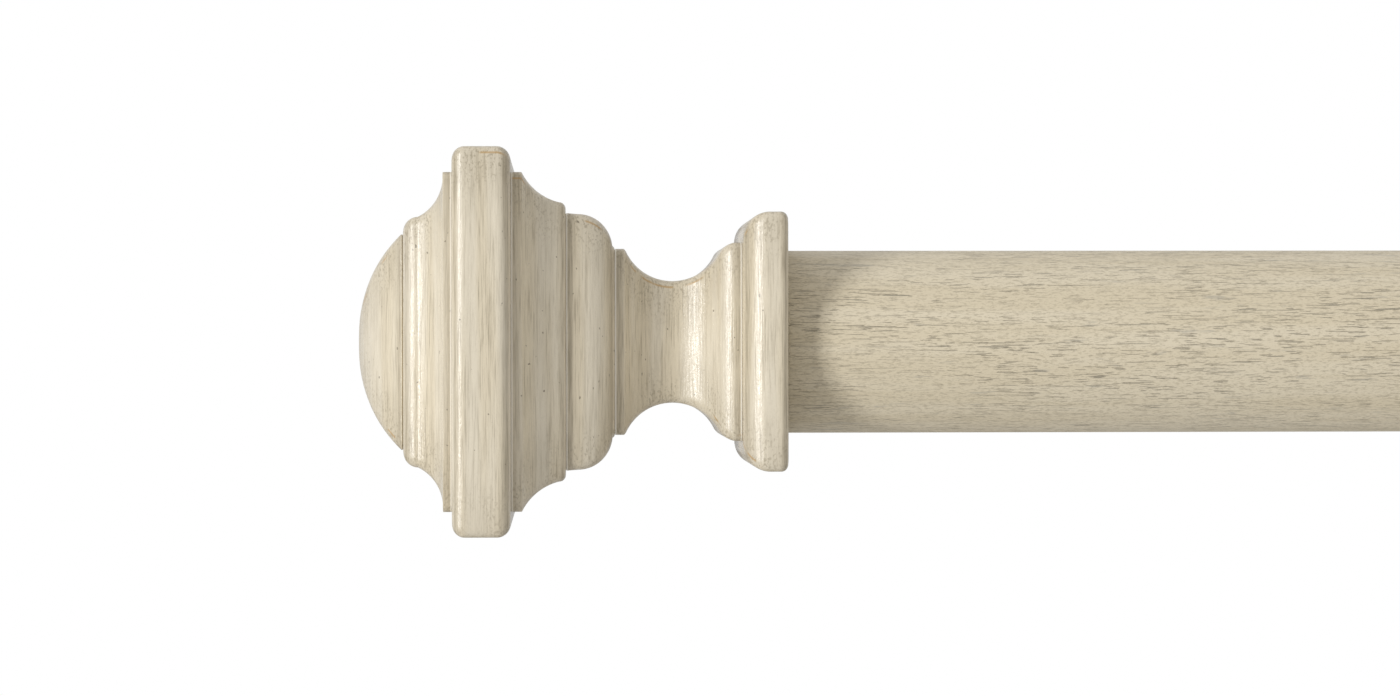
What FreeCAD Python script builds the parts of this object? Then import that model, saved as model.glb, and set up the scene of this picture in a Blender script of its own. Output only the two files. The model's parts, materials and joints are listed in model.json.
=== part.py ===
import FreeCAD, Part
import math
import os

# Curtain rod with two brackets and two square stepped finials.
# Millimetres. X runs along the rod, +Y points to the wall, +Z is up.
# The origin is on the rod's axis, half way along the rod.

# ---------------------------------------------------------------- driving sizes
# The pole
ROD_RADIUS = 25.4
ROD_LENGTH = 1219.2
ROD_END_CHAMFER = 0.8

# The finial: half widths of its square steps, from the rod's end outwards
FLANGE_HALF = 35.25
NECK_FOOT_HALF = 27.1
NECK_WAIST_HALF = 16.75
THUMB_HALF = 34.85
REAR_NOSE_HALF = 37.7
FILLET_HALF = 45.5
BAND_HALF = 52.1
FRONT_NOSE_HALF = 33.9
DOME_HALF = 29.4

# The finial: length of each step along the rod
FLANGE_LENGTH = 12.2
NECK_LENGTH = 34.8
THUMB_LENGTH = 13.3
REAR_COVE_LENGTH = 14.7
BAND_LENGTH = 15.7
FRONT_COVE_LENGTH = 13.7
DOME_LENGTH = 13.4

# The hanger bolt that screws the finial into the rod, and the dowel in the finial
BOLT_RADIUS = 3.97
BOLT_REACH = 19.05
BOLT_BURIED = 22.0
DOWEL_RADIUS = 8.0
DOWEL_END_WOOD = 7.0
INSERT_WALL = 2.1
INSERT_RIM = 2.0
INSERT_RIM_LENGTH = 1.6

# The brackets
BRACKET_INSET = 240.0
PROJECTION = 88.9
CRADLE_WIDTH = 36.0
CRADLE_WALL = 9.5
CRADLE_LIP = 10.0
CRADLE_EDGE = 1.6
SADDLE_DEPTH = 6.0
ARM_DROP = 7.0
ARM_HALF = 17.0
ARM_WAIST_HALF = 10.5
ARM_LEDGE = 1.0
STEP_LEDGE = 2.0
STEP_COVE = 4.0
STEP_THICKNESS = 6.0
PLATE_BORDER = 9.0
PLATE_RIM = 8.0
PLATE_THICKNESS = 12.0

# The steel hanging plate let into the back of each bracket
KEY_PLATE_HALF_WIDTH = 14.0
KEY_PLATE_END = 11.5
KEY_PLATE_THICKNESS = 1.6
KEY_PLATE_CORNER = 5.0
KEY_SPACING = 40.0
KEY_ENTRY_RADIUS = 4.5
KEY_SLOT_RADIUS = 2.4
KEY_SLOT_RISE = 8.0
POCKET_DEPTH = 6.0
POCKET_MARGIN = 1.5

# Screws
WOOD_SCREW_RADIUS = 2.1
WOOD_SCREW_HEAD = 4.2
ARM_SCREW_IN_ARM = 11.0
CRADLE_SCREW_SUNK = 1.2
SMALL_SCREW_RADIUS = 1.45
SMALL_SCREW_HEAD = 2.8
SMALL_SCREW_LENGTH = 9.0

# The thumb screw under each cradle
THUMB_SCREW_RADIUS = 3.175
THUMB_BOSS_HALF = 11.0
THUMB_BOSS_DROP = 5.0
THUMB_INSERT_LENGTH = 11.0
THUMB_INSERT_WALL = 1.9
KNOB_RADIUS = 8.0
KNOB_LENGTH = 8.0
KNOB_GAP = 3.0
KNOB_GROOVES = 24
KNOB_GROOVE_RADIUS = 0.7

# Clearances
OPEN_GAP = 0.3
THREAD_GAP = 0.08
GLUE_GAP = 0.05

# ---------------------------------------------------------------- sizes that follow
ROD_HALF = ROD_LENGTH / 2
BRACKET_X = ROD_HALF - BRACKET_INSET
SEAT_RADIUS = ROD_RADIUS + OPEN_GAP
CRADLE_RADIUS = SEAT_RADIUS + CRADLE_WALL
SADDLE_FACE = CRADLE_RADIUS + SADDLE_DEPTH
SADDLE_HALF = CRADLE_WIDTH / 2 - CRADLE_EDGE
ARM_HEAD_HALF = SADDLE_HALF - ARM_LEDGE
ARM_LENGTH = PROJECTION - PLATE_THICKNESS - STEP_THICKNESS - SADDLE_FACE
KEY_PLATE_HALF_HEIGHT = KEY_SPACING / 2 + KEY_SLOT_RISE / 2 + KEY_ENTRY_RADIUS + KEY_PLATE_END
STEP_HALF_WIDTH = ARM_HALF + STEP_LEDGE + STEP_COVE
PLATE_HALF_WIDTH = STEP_HALF_WIDTH + PLATE_BORDER
PLATE_HALF_HEIGHT = KEY_PLATE_HALF_HEIGHT + PLATE_RIM
PLATE_TALLER = PLATE_HALF_HEIGHT - PLATE_HALF_WIDTH
POCKET_FLOOR = KEY_PLATE_THICKNESS + POCKET_DEPTH
BOSS_FACE = -(CRADLE_RADIUS + THUMB_BOSS_DROP)
FINIAL_LENGTHS = (
    FLANGE_LENGTH,
    NECK_LENGTH,
    THUMB_LENGTH,
    REAR_COVE_LENGTH,
    BAND_LENGTH,
    FRONT_COVE_LENGTH,
    DOME_LENGTH,
)
FINIAL_LENGTH = sum(FINIAL_LENGTHS)
FAR = 500.0

Vec = FreeCAD.Vector


# ---------------------------------------------------------------- drawing helpers
def outline_edges(path, widen=0.0):
    """Edges through (along, half width) points. A third number is the turn in degrees of
    an arc that ends there: positive bulges out of the wood, negative hollows it."""
    edges = []
    for here, there in zip(path, path[1:]):
        a = Vec(here[0], 0, here[1] + widen)
        b = Vec(there[0], 0, there[1] + widen)
        if len(there) == 2:
            edges.append(Part.makeLine(a, b))
            continue
        chord = b - a
        outwards = Vec(-chord.z, 0, chord.x)
        rise = math.tan(math.radians(there[2]) / 4) / 2
        edges.append(Part.Arc(a, (a + b) * 0.5 + outwards * rise, b).toShape())
    return edges


def mirrored_face(path, widen=0.0):
    """The whole section of a moulding: the outline above the axis and its mirror image."""
    upper = outline_edges(path, widen)
    lower = [edge.mirror(Vec(0, 0, 0), Vec(0, 0, 1)) for edge in upper]
    ends = []
    for along, half in (path[0][:2], path[-1][:2]):
        if half + widen > 1e-6:
            ends.append(
                Part.makeLine(Vec(along, 0, half + widen), Vec(along, 0, -half - widen))
            )
    wire = Part.Wire(Part.__sortEdges__(upper + lower + ends))
    return Part.Face(wire)


def mitred(path, taller=0.0):
    """A block with one moulding run round its four sides and mitred at the corners."""
    seen_from_front = mirrored_face(path, taller)
    seen_from_above = mirrored_face(path)
    seen_from_above.rotate(Vec(0, 0, 0), Vec(1, 0, 0), 90)
    deep = seen_from_front.translated(Vec(0, -FAR, 0)).extrude(Vec(0, 2 * FAR, 0))
    high = seen_from_above.translated(Vec(0, 0, -FAR)).extrude(Vec(0, 0, 2 * FAR))
    return deep.common(high).Solids[0]


def turned(path):
    """A round piece: the outline spun about the X axis."""
    edges = outline_edges([(path[0][0], 0.0), *path, (path[-1][0], 0.0)])
    edges = [edge for edge in edges if edge.Length > 1e-6]
    edges.append(Part.makeLine(Vec(path[-1][0], 0, 0), Vec(path[0][0], 0, 0)))
    face = Part.Face(Part.Wire(Part.__sortEdges__(edges)))
    return face.revolve(Vec(0, 0, 0), Vec(1, 0, 0), 360).Solids[0]


def rod_along_x(radius, start, end):
    return Part.makeCylinder(radius, end - start, Vec(start, 0, 0), Vec(1, 0, 0))


def box(low, high):
    size = Vec(*high) - Vec(*low)
    return Part.makeBox(size.x, size.y, size.z, Vec(*low))


def place(shape, start, direction):
    """Carry a shape drawn along +X from the origin to its own start and direction."""
    moved = shape.copy()
    turn = FreeCAD.Rotation(Vec(1, 0, 0), Vec(*direction))
    moved.Placement = FreeCAD.Placement(Vec(*start), turn)
    return moved


def save(node, *solids):
    shape = solids[0] if len(solids) == 1 else Part.makeCompound(list(solids))
    shape.exportStep(f"parts/{node}.step")


# ---------------------------------------------------------------- the pole
def rod_blank():
    """The pole with its sawn ends eased by a small chamfer."""
    end = ROD_HALF - ROD_END_CHAMFER
    shoulder = ROD_RADIUS - ROD_END_CHAMFER
    path = [(-ROD_HALF, shoulder), (-end, ROD_RADIUS), (end, ROD_RADIUS), (ROD_HALF, shoulder)]
    return turned(path)


def insert_outside(gap=0.0):
    """The outside of the brass insert, drawn from the rod's end inwards."""
    body = BOLT_RADIUS + INSERT_WALL + gap
    rim = body + INSERT_RIM
    length = BOLT_REACH + 1.0
    return turned(
        [
            (0, rim),
            (INSERT_RIM_LENGTH, rim),
            (INSERT_RIM_LENGTH, body),
            (length - 1.0, body),
            (length, body - 1.0),
        ]
    )


def rod_insert():
    bore = rod_along_x(BOLT_RADIUS + THREAD_GAP, -1, BOLT_REACH + 2)
    return insert_outside().cut(bore).Solids[0]


# ---------------------------------------------------------------- the finial
def flange_outline():
    edge, ovolo = 2.0, 7.3
    return [
        (0, FLANGE_HALF - edge),
        (edge, FLANGE_HALF, 90),
        (FLANGE_LENGTH - ovolo, FLANGE_HALF),
        (FLANGE_LENGTH, FLANGE_HALF - ovolo, 90),
    ]


def neck_outline():
    """A foot bead, the deep scotia and a narrow head."""
    foot, bead, head = 2.0, 3.9, 2.6
    shoulder = NECK_FOOT_HALF - 2.3
    start, end = foot + bead, NECK_LENGTH - head - 0.5
    depth = shoulder - NECK_WAIST_HALF
    hollow = 4 * math.degrees(math.atan(2 * depth / (end - start)))
    return [
        (0, NECK_FOOT_HALF),
        (foot, NECK_FOOT_HALF),
        (start, shoulder, 42),
        (end, shoulder, -hollow),
        (end + 0.5, ROD_RADIUS),
        (NECK_LENGTH, ROD_RADIUS),
    ]


def thumb_outline():
    """A quarter-round step that swells out of the neck's head."""
    return [
        (0, THUMB_HALF - 9.2),
        (0.6, THUMB_HALF - 8.6),
        (THUMB_LENGTH - 3.2, THUMB_HALF - 0.25, 84),
        (THUMB_LENGTH, THUMB_HALF),
    ]


def rear_cove_outline():
    nose, fillet = 1.8, 2.9
    return [
        (0, REAR_NOSE_HALF - nose),
        (nose, REAR_NOSE_HALF, 90),
        (REAR_COVE_LENGTH - fillet, FILLET_HALF, -50),
        (REAR_COVE_LENGTH, FILLET_HALF),
    ]


def band_outline():
    rear, front = 3.4, 2.4
    return [
        (0, BAND_HALF - rear),
        (rear, BAND_HALF, 90),
        (BAND_LENGTH - front, BAND_HALF),
        (BAND_LENGTH, BAND_HALF - front, 90),
    ]


def front_cove_outline():
    fillet, nose = 2.5, 4.1
    return [
        (0, FILLET_HALF),
        (fillet, FILLET_HALF),
        (FRONT_COVE_LENGTH - nose, FRONT_NOSE_HALF, -68),
        (FRONT_COVE_LENGTH, FRONT_NOSE_HALF - nose, 86),
    ]


def dome_outline():
    """A shallow arch: its top lies on the axis, so the four sides meet in a pillow."""
    radius = (DOME_HALF**2 + DOME_LENGTH**2) / (2 * DOME_LENGTH)
    sweep = math.degrees(math.asin(DOME_HALF / radius))
    return [(0, DOME_HALF), (DOME_LENGTH, 0, sweep)]


FINIAL_PIECES = (
    ("base_flange", flange_outline),
    ("neck", neck_outline),
    ("thumb_moulding", thumb_outline),
    ("rear_cove", rear_cove_outline),
    ("centre_band", band_outline),
    ("front_cove", front_cove_outline),
    ("dome_cap", dome_outline),
)


def finial():
    """Every piece of one finial, drawn outwards from the face that meets the rod."""
    dowel_start = BOLT_BURIED + 2.0
    dowel_end = FINIAL_LENGTH - DOWEL_END_WOOD
    bolt_hole = rod_along_x(BOLT_RADIUS + GLUE_GAP, -1, dowel_start + 1)
    dowel_hole = rod_along_x(DOWEL_RADIUS + GLUE_GAP, dowel_start, dowel_end + GLUE_GAP)
    pieces, start = {}, 0.0
    for (name, outline), length in zip(FINIAL_PIECES, FINIAL_LENGTHS):
        blank = mitred(outline()).translated(Vec(start, 0, 0))
        pieces[name] = blank.cut(bolt_hole).cut(dowel_hole).Solids[0]
        start += length
    pieces["core_dowel"] = turned(
        [
            (dowel_start, DOWEL_RADIUS - 1.0),
            (dowel_start + 1.0, DOWEL_RADIUS),
            (dowel_end - 1.0, DOWEL_RADIUS),
            (dowel_end, DOWEL_RADIUS - 1.0),
        ]
    )
    pieces["hanger_bolt"] = turned(
        [
            (-BOLT_REACH, BOLT_RADIUS - 0.8),
            (-BOLT_REACH + 0.8, BOLT_RADIUS),
            (2.0, BOLT_RADIUS),
            (2.4, BOLT_RADIUS - 0.4),
            (BOLT_BURIED - 5.0, BOLT_RADIUS - 0.4),
            (BOLT_BURIED, 0.6),
        ]
    )
    return pieces


# ---------------------------------------------------------------- screws
def wood_screw(length, radius, head, gap=0.0):
    """A countersunk screw drawn from its flat head along +X to its point."""
    radius, head = radius + gap, head + gap
    cone = head - radius
    return turned(
        [
            (0, head),
            (0.3, head),
            (0.3 + cone, radius),
            (length - 2 * radius, radius),
            (length, 0.3),
        ]
    )


def screw_with_recess(length, radius, head):
    """The same screw with a cross recess for the driver."""
    screw = wood_screw(length, radius, head)
    for turn in (0, 90):
        blade = box((-1, -0.35, -head * 0.5), (head * 0.42, 0.35, head * 0.5))
        blade.rotate(Vec(0, 0, 0), Vec(1, 0, 0), turn)
        screw = screw.cut(blade)
    return screw.Solids[0]


# ---------------------------------------------------------------- the bracket
# Each bracket piece is drawn with its bracket's middle at x = 0.
def seat_space():
    """What the rod takes up in the cradle, open at the top so that it lifts out."""
    wide = CRADLE_WIDTH
    trough = rod_along_x(SEAT_RADIUS, -wide, wide)
    way_out = box((-wide, -SEAT_RADIUS, 0), (wide, SEAT_RADIUS, 3 * CRADLE_RADIUS))
    return trough.fuse(way_out)


def cradle_ring():
    """The U that holds the rod, with round lips and eased edges."""
    inner, outer, lip = SEAT_RADIUS, CRADLE_RADIUS, CRADLE_LIP
    middle, tip = (inner + outer) / 2, lip + CRADLE_WALL / 2

    def at(y, z):
        return Vec(-CRADLE_WIDTH / 2, y, z)

    edges = [
        Part.makeLine(at(-inner, lip), at(-inner, 0)),
        Part.Arc(at(-inner, 0), at(0, -inner), at(inner, 0)).toShape(),
        Part.makeLine(at(inner, 0), at(inner, lip)),
        Part.Arc(at(inner, lip), at(middle, tip), at(outer, lip)).toShape(),
        Part.makeLine(at(outer, lip), at(outer, 0)),
        Part.Arc(at(outer, 0), at(0, -outer), at(-outer, 0)).toShape(),
        Part.makeLine(at(-outer, 0), at(-outer, lip)),
        Part.Arc(at(-outer, lip), at(-middle, tip), at(-inner, lip)).toShape(),
    ]
    ring = Part.Face(Part.Wire(edges)).extrude(Vec(CRADLE_WIDTH, 0, 0))
    side = CRADLE_WIDTH / 2
    rims = [
        edge
        for edge in ring.Edges
        if abs(abs(edge.BoundBox.XMin) - side) < 1e-6 and edge.BoundBox.XLength < 1e-6
    ]
    return ring.makeFillet(CRADLE_EDGE, rims)


def cradle():
    """The U, the square saddle behind it, and the boss under it for the thumb screw."""
    top, bottom = ARM_HALF - ARM_DROP, -ARM_HALF - ARM_DROP
    saddle = box(
        (-SADDLE_HALF, SEAT_RADIUS / 2, bottom), (SADDLE_HALF, SADDLE_FACE, top)
    )
    corner = 1.5
    boss = place(
        mitred(
            [
                (0, THUMB_BOSS_HALF - corner),
                (corner, THUMB_BOSS_HALF, 90),
                (THUMB_BOSS_DROP + CRADLE_WALL, THUMB_BOSS_HALF),
            ]
        ),
        (0, 0, BOSS_FACE),
        (0, 0, 1),
    )
    body = cradle_ring().fuse([saddle.cut(seat_space()), boss.cut(seat_space())])
    insert = THUMB_SCREW_RADIUS + THUMB_INSERT_WALL + GLUE_GAP
    insert_hole = Part.makeCylinder(
        insert, THUMB_INSERT_LENGTH + GLUE_GAP + 1, Vec(0, 0, BOSS_FACE - 1)
    )
    screw_way = Part.makeCylinder(
        THUMB_SCREW_RADIUS + OPEN_GAP, -BOSS_FACE - SEAT_RADIUS / 2, Vec(0, 0, BOSS_FACE)
    )
    body = body.cut([insert_hole, screw_way, cradle_screw_space()])
    return body.removeSplitter().Solids[0]


def cradle_screw_length():
    return SADDLE_FACE - cradle_screw_start() + ARM_LENGTH * 0.42


def cradle_screw_start():
    """Where the head lies: just under the seat, so that it never rubs the rod."""
    return math.sqrt(SEAT_RADIUS**2 - ARM_DROP**2) + CRADLE_SCREW_SUNK


def cradle_screw_space():
    gap = GLUE_GAP
    space = wood_screw(cradle_screw_length() + gap, WOOD_SCREW_RADIUS, WOOD_SCREW_HEAD, gap)
    way_in = rod_along_x(WOOD_SCREW_HEAD + gap, -CRADLE_WALL, 0)
    return place(space.fuse(way_in), (0, cradle_screw_start(), -ARM_DROP), (0, 1, 0))


def cradle_screw():
    screw = screw_with_recess(cradle_screw_length(), WOOD_SCREW_RADIUS, WOOD_SCREW_HEAD)
    return place(screw, (0, cradle_screw_start(), -ARM_DROP), (0, 1, 0))


def arm_screw_length():
    return PLATE_THICKNESS - POCKET_FLOOR + STEP_THICKNESS + ARM_SCREW_IN_ARM


def arm_screw_space():
    gap = GLUE_GAP
    space = wood_screw(arm_screw_length() + gap, WOOD_SCREW_RADIUS, WOOD_SCREW_HEAD, gap)
    return place(space, (0, PROJECTION - POCKET_FLOOR, -ARM_DROP), (0, -1, 0))


def arm_screw():
    screw = screw_with_recess(arm_screw_length(), WOOD_SCREW_RADIUS, WOOD_SCREW_HEAD)
    return place(screw, (0, PROJECTION - POCKET_FLOOR, -ARM_DROP), (0, -1, 0))


def arm():
    """A square neck with the finial's hollow, from the stepped plate to the cradle."""
    foot, bead, head = 2.4, 2.6, 2.4
    shoulder = ARM_HALF - 2.2
    start, end = foot + bead, ARM_LENGTH - head - 0.4
    depth = shoulder - ARM_WAIST_HALF
    hollow = 4 * math.degrees(math.atan(2 * depth / (end - start)))
    path = [
        (0, ARM_HALF),
        (foot, ARM_HALF),
        (start, shoulder, 60),
        (end, shoulder, -hollow),
        (end + 0.4, ARM_HEAD_HALF),
        (ARM_LENGTH, ARM_HEAD_HALF),
    ]
    wood = place(mitred(path), (0, SADDLE_FACE + ARM_LENGTH, -ARM_DROP), (0, -1, 0))
    return wood.cut([arm_screw_space(), cradle_screw_space()]).Solids[0]


def back_plate():
    """The board against the wall, hollowed for the hanging plate and the screw heads."""
    edge, ovolo = 1.0, 5.5
    path = [
        (0, PLATE_HALF_WIDTH - edge),
        (edge, PLATE_HALF_WIDTH, 90),
        (PLATE_THICKNESS - ovolo, PLATE_HALF_WIDTH),
        (PLATE_THICKNESS, PLATE_HALF_WIDTH - ovolo, 90),
    ]
    wood = place(mitred(path, PLATE_TALLER), (0, PROJECTION, -ARM_DROP), (0, -1, 0))
    half_width = KEY_ENTRY_RADIUS + POCKET_MARGIN
    low, high = key_entries()[0] - half_width, key_entries()[1] + KEY_SLOT_RISE + half_width
    pocket = box(
        (-half_width, PROJECTION - POCKET_FLOOR, low),
        (half_width, PROJECTION - KEY_PLATE_THICKNESS / 2, high),
    )
    cuts = [key_plate_blank(GLUE_GAP), pocket, arm_screw_space(), *small_screw_spaces()]
    return wood.cut(cuts).Solids[0]


def stepped_block():
    """The smaller board on the back plate, coved down towards the arm."""
    path = [
        (0, STEP_HALF_WIDTH),
        (STEP_THICKNESS - STEP_COVE, STEP_HALF_WIDTH),
        (STEP_THICKNESS, STEP_HALF_WIDTH - STEP_COVE, -80),
    ]
    start = (0, PROJECTION - PLATE_THICKNESS, -ARM_DROP)
    wood = place(mitred(path, PLATE_TALLER), start, (0, -1, 0))
    return wood.cut(arm_screw_space()).Solids[0]


def key_entries():
    """Heights of the two keyholes' round entries, the lower one first."""
    middle = -ARM_DROP - KEY_SLOT_RISE / 2
    return middle - KEY_SPACING / 2, middle + KEY_SPACING / 2


def key_plate_blank(gap=0.0):
    """The steel plate without its holes, its back flush with the wood."""
    half_width, half_height = KEY_PLATE_HALF_WIDTH + gap, KEY_PLATE_HALF_HEIGHT + gap
    blank = box(
        (-half_width, PROJECTION - KEY_PLATE_THICKNESS - gap, -ARM_DROP - half_height),
        (half_width, PROJECTION, -ARM_DROP + half_height),
    )
    corners = [edge for edge in blank.Edges if edge.BoundBox.YLength > 1e-3]
    return blank.makeFillet(KEY_PLATE_CORNER, corners)


def small_screw_spots():
    reach = KEY_PLATE_HALF_HEIGHT - KEY_PLATE_CORNER
    return [(0, PROJECTION, -ARM_DROP + sign * reach) for sign in (-1, 1)]


def small_screw_spaces():
    gap = GLUE_GAP
    space = wood_screw(SMALL_SCREW_LENGTH + gap, SMALL_SCREW_RADIUS, SMALL_SCREW_HEAD, gap)
    return [place(space, spot, (0, -1, 0)) for spot in small_screw_spots()]


def small_screws():
    screw = screw_with_recess(SMALL_SCREW_LENGTH, SMALL_SCREW_RADIUS, SMALL_SCREW_HEAD)
    return [place(screw, spot, (0, -1, 0)) for spot in small_screw_spots()]


def key_plate():
    """Two keyholes: the round entry passes a screw head, the slot above it holds on."""
    cuts = small_screw_spaces()
    for height in key_entries():
        start = PROJECTION - KEY_PLATE_THICKNESS - 1

        def drilled(radius, z):
            return Part.makeCylinder(
                radius, KEY_PLATE_THICKNESS + 2, Vec(0, start, z), Vec(0, 1, 0)
            )

        slot = box(
            (-KEY_SLOT_RADIUS, start, height),
            (KEY_SLOT_RADIUS, PROJECTION + 1, height + KEY_SLOT_RISE),
        )
        cuts += [
            drilled(KEY_ENTRY_RADIUS, height),
            slot,
            drilled(KEY_SLOT_RADIUS, height + KEY_SLOT_RISE),
        ]
    return key_plate_blank().cut(cuts).Solids[0]


# ---------------------------------------------------------------- the thumb screw
def thumb_insert():
    """The brass sleeve, pressed into the boss, that the thumb screw turns in."""
    outside = THUMB_SCREW_RADIUS + THUMB_INSERT_WALL
    sleeve = turned(
        [(0, outside), (THUMB_INSERT_LENGTH - 0.8, outside), (THUMB_INSERT_LENGTH, outside - 0.8)]
    )
    bore = rod_along_x(THUMB_SCREW_RADIUS + THREAD_GAP, -1, THUMB_INSERT_LENGTH + 1)
    return place(sleeve.cut(bore), (0, 0, BOSS_FACE), (0, 0, 1)).Solids[0]


def thumb_shank():
    """The screw's shank: its tip stands just clear of the rod and its foot is in the knob."""
    length = -BOSS_FACE - SEAT_RADIUS + KNOB_GAP + KNOB_LENGTH * 0.6
    shank = turned(
        [
            (0, THUMB_SCREW_RADIUS - 1.0),
            (1.0, THUMB_SCREW_RADIUS),
            (length, THUMB_SCREW_RADIUS),
        ]
    )
    return place(shank, (0, 0, -SEAT_RADIUS), (0, 0, -1))


def thumb_knob():
    """A knurled brass knob with a blind hole for the shank."""
    knob = turned(
        [
            (0, KNOB_RADIUS * 0.6),
            (1.0, KNOB_RADIUS - 0.6),
            (1.6, KNOB_RADIUS),
            (KNOB_LENGTH - 0.9, KNOB_RADIUS),
            (KNOB_LENGTH, KNOB_RADIUS - 0.9),
        ]
    )
    groove = rod_along_x(KNOB_GROOVE_RADIUS, -1, KNOB_LENGTH + 1)
    groove.translate(Vec(0, KNOB_RADIUS + KNOB_GROOVE_RADIUS * 0.4, 0))
    grooves = []
    for count in range(KNOB_GROOVES):
        cutter = groove.copy()
        cutter.rotate(Vec(0, 0, 0), Vec(1, 0, 0), 360 * count / KNOB_GROOVES)
        grooves.append(cutter)
    hole = rod_along_x(THUMB_SCREW_RADIUS + THREAD_GAP, -1, KNOB_LENGTH * 0.6 + OPEN_GAP)
    return place(knob.cut([*grooves, hole]), (0, 0, BOSS_FACE - KNOB_GAP), (0, 0, -1)).Solids[0]


BRACKET_PIECES = (
    ("back_plate", back_plate),
    ("stepped_block", stepped_block),
    ("arm", arm),
    ("cradle", cradle),
    ("key_plate", key_plate),
    ("arm_screw", arm_screw),
    ("cradle_screw", cradle_screw),
    ("thumb_insert", thumb_insert),
    ("thumb_shank", thumb_shank),
    ("thumb_knob", thumb_knob),
)


# ---------------------------------------------------------------- write every node
def main():
    os.makedirs("parts", exist_ok=True)
    rod = rod_blank()
    finial_pieces = finial()
    bracket_pieces = {name: make() for name, make in BRACKET_PIECES}
    for side, sign in (("left", -1), ("right", 1)):
        end, outwards, inwards = sign * ROD_HALF, (sign, 0, 0), (-sign, 0, 0)
        rod = rod.cut(place(insert_outside(GLUE_GAP), (end, 0, 0), inwards))
        save(f"rod_insert_{side}", place(rod_insert(), (end, 0, 0), inwards))
        for name, piece in finial_pieces.items():
            save(f"{name}_{side}", place(piece, (end + sign * OPEN_GAP, 0, 0), outwards))
        along = Vec(sign * BRACKET_X, 0, 0)
        for name, piece in bracket_pieces.items():
            save(f"{name}_{side}", piece.translated(along))
        save(f"key_plate_screws_{side}", *[s.translated(along) for s in small_screws()])
    save("rod", rod.Solids[0])


main()
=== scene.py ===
# %% [markdown]
# # A painted wooden curtain pole with square stepped finials
# The engineering model arrives as a fixed frame: every solid is already in its true place, in
# metres, with X along the pole, +Y towards the wall and +Z up. This lesson dresses that frame.
# Pieces whose shape can be finer are modelled again over their solid, and the rest keep their
# shape and get a finish. Nothing here moves or resizes the frame.

# %% Load the frame
import json
import math

import bmesh
import bpy
from mathutils import Matrix, Vector


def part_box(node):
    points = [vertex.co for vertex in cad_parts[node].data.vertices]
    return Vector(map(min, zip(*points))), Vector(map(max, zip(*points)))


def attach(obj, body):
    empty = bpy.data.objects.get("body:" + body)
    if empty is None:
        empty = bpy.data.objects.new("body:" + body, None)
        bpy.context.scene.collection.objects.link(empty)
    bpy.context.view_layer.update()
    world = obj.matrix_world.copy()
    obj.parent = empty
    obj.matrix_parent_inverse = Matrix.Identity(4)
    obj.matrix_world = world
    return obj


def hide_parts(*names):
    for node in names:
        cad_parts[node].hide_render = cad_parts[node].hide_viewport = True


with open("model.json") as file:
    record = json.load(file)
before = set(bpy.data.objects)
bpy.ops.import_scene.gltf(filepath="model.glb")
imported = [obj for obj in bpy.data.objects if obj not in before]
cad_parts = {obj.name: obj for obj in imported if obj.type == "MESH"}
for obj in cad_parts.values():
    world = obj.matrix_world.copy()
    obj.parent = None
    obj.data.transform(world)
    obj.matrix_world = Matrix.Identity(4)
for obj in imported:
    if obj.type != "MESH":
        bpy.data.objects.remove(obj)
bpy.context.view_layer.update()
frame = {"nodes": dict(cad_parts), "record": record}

MM = 0.001
WELD = 1e-6
SIDES = {"left": -1, "right": 1}

# %% [markdown]
# ## Small helpers for finishes
# Paint colours are chosen on a screen, so they are written as the hex values that a screen
# shows. The renderer adds light in linear values, so one function turns the first into the
# second. Another adds a shader node with its settings and links in one line, which keeps a
# long recipe readable, and two more begin and end a material.

# %% Colours and nodes
def linear(hex_colour):
    """An sRGB hex colour as linear red, green, blue and a solid alpha."""
    channels = [int(hex_colour[i : i + 2], 16) / 255 for i in (1, 3, 5)]
    return (
        *(c / 12.92 if c <= 0.04045 else ((c + 0.055) / 1.055) ** 2.4 for c in channels),
        1.0,
    )


def add(tree, kind, inputs=(), out=0, **settings):
    """Add one node, set it, link or fill its inputs, by name or in order, and give back one
    output, or all of them where out is None."""
    made = tree.nodes.new("ShaderNode" + kind)
    for name, value in settings.items():
        setattr(made, name, value)
    for name, value in inputs.items() if isinstance(inputs, dict) else enumerate(inputs):
        if isinstance(value, bpy.types.NodeSocket):
            tree.links.new(value, made.inputs[name])
        else:
            made.inputs[name].default_value = value
    return made.outputs if out is None else made.outputs[out]


def new_material(name):
    """A new material and its empty node tree."""
    made = bpy.data.materials.new(name)
    made.use_nodes = True
    made.node_tree.nodes.clear()
    return made, made.node_tree


def finish_surface(tree, **inputs):
    """Give the material its shader, with the inputs named as on the Principled node."""
    named = {name.replace("_", " "): value for name, value in inputs.items()}
    surface = add(tree, "BsdfPrincipled", named)
    add(tree, "OutputMaterial", {"Surface": surface}, out=None)


print("a screen's mid grey is", round(linear("#808080")[0], 3), "in linear light")

# %% [markdown]
# ## Brushed and glazed cream paint
# The finials and brackets are hardwood in satin cream paint. A thin grey-brown glaze is
# brushed on and wiped off again, so it stays in the brush marks and dapples the ends of each
# face. Every quirk between two mouldings is darker: glaze gathers there, and painted shade is
# added where the light reaches the quirk least. A few corners are rubbed through to ochre, and
# the thin lip beside a seam is painted near white, a painted highlight. A picture of such a
# finish would stretch over a moulding. Noise that is long one way and fine the other can follow
# each of the four faces instead: the brush always runs along the face, across the axis of the
# moulding.
#
# The paint is built coat over coat, as on the bench, except that the quirks' coat also carries
# painted shade and one coat is a painted highlight. Each coat has a strength, and a few masks
# that say where it lies, which are multiplied together.

# %% Colours and brush marks
CREAM, WARM_CREAM, GLAZE = "#E0D7C4", "#DBD0B9", "#958A74"
# a near-white painted highlight for the lip beside a seam
PAINTED_LIP_HIGHLIGHT = "#FBF8F1"
# the third colour here darkens the quirks: gathered glaze together with painted shade
OCHRE, FLECK, DEEP_GLAZE_AND_SHADE = "#B5915A", "#6E6555", "#857A64"

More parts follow.
